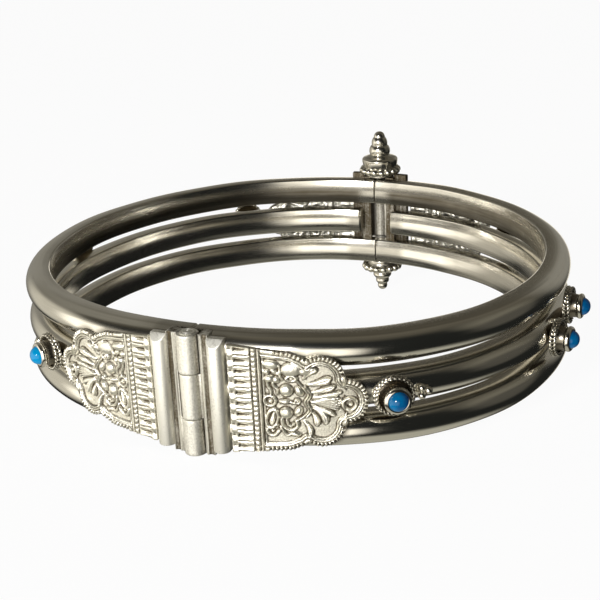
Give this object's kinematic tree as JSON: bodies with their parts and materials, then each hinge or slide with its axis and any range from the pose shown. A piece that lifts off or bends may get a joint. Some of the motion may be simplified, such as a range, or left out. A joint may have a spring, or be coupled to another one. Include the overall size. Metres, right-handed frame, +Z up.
{
  "type": "hinged bangle",
  "caption": "Hinged silver bangle of three polished rails in two halves, with stamped plates, a draw-out clasp pin with finials, and turquoise stones in raised settings.",
  "frame": {"origin": "middle of the bangle's footprint, on the surface that it rests on", "axes": "+X from the left half to the right half, +Y from the hinge to the clasp, +Z up"},
  "size_m": [0.073, 0.0684, 0.0246],
  "materials": {
    "rails": "polished silver",
    "ends": "worn satin silver",
    "plates": "stamped silver with tarnish in its hollows",
    "settings": "polished silver with tarnish in its hollows",
    "finials": "polished silver with tarnish in its hollows",
    "stones": "polished turquoise"
  },
  "bodies": {
    "left_half": {"left_upper_rail": "rails", "left_middle_rail": "rails", "left_lower_rail": "rails", "left_hinge_end": "ends", "left_clasp_end": "ends", "hinge_pin": "ends", "lower_finial": "finials", "left_hinge_plate": "plates", "left_clasp_plate": "plates", "left_hinge_setting": "settings", "left_upper_setting": "settings", "left_lower_setting": "settings", "left_clasp_setting": "settings", "left_hinge_stone": "stones", "left_upper_stone": "stones", "left_lower_stone": "stones", "left_clasp_stone": "stones", "left_hinge_granules": "settings", "left_clasp_granules": "settings"},
    "right_half": {"right_upper_rail": "rails", "right_middle_rail": "rails", "right_lower_rail": "rails", "right_hinge_end": "ends", "right_clasp_end": "ends", "right_hinge_plate": "plates", "right_clasp_plate": "plates", "right_hinge_setting": "settings", "right_upper_setting": "settings", "right_lower_setting": "settings", "right_clasp_setting": "settings", "right_hinge_stone": "stones", "right_upper_stone": "stones", "right_lower_stone": "stones", "right_clasp_stone": "stones", "right_hinge_granules": "settings", "right_clasp_granules": "settings"},
    "clasp_pin": {"clasp_pin": "finials"}
  },
  "joints": [
    {"name": "hinge", "type": "hinge", "parent": "left_half", "child": "right_half", "pos_m": [0, -0.03258, 0.00756], "axis": [0, 0.0626, -0.998], "range_deg": [0, 80]},
    {"name": "pin_slide", "type": "slide", "parent": "left_half", "child": "clasp_pin", "axis": [0, -0.0626, 0.998], "range_m": [0, 0.0145]}
  ]
}
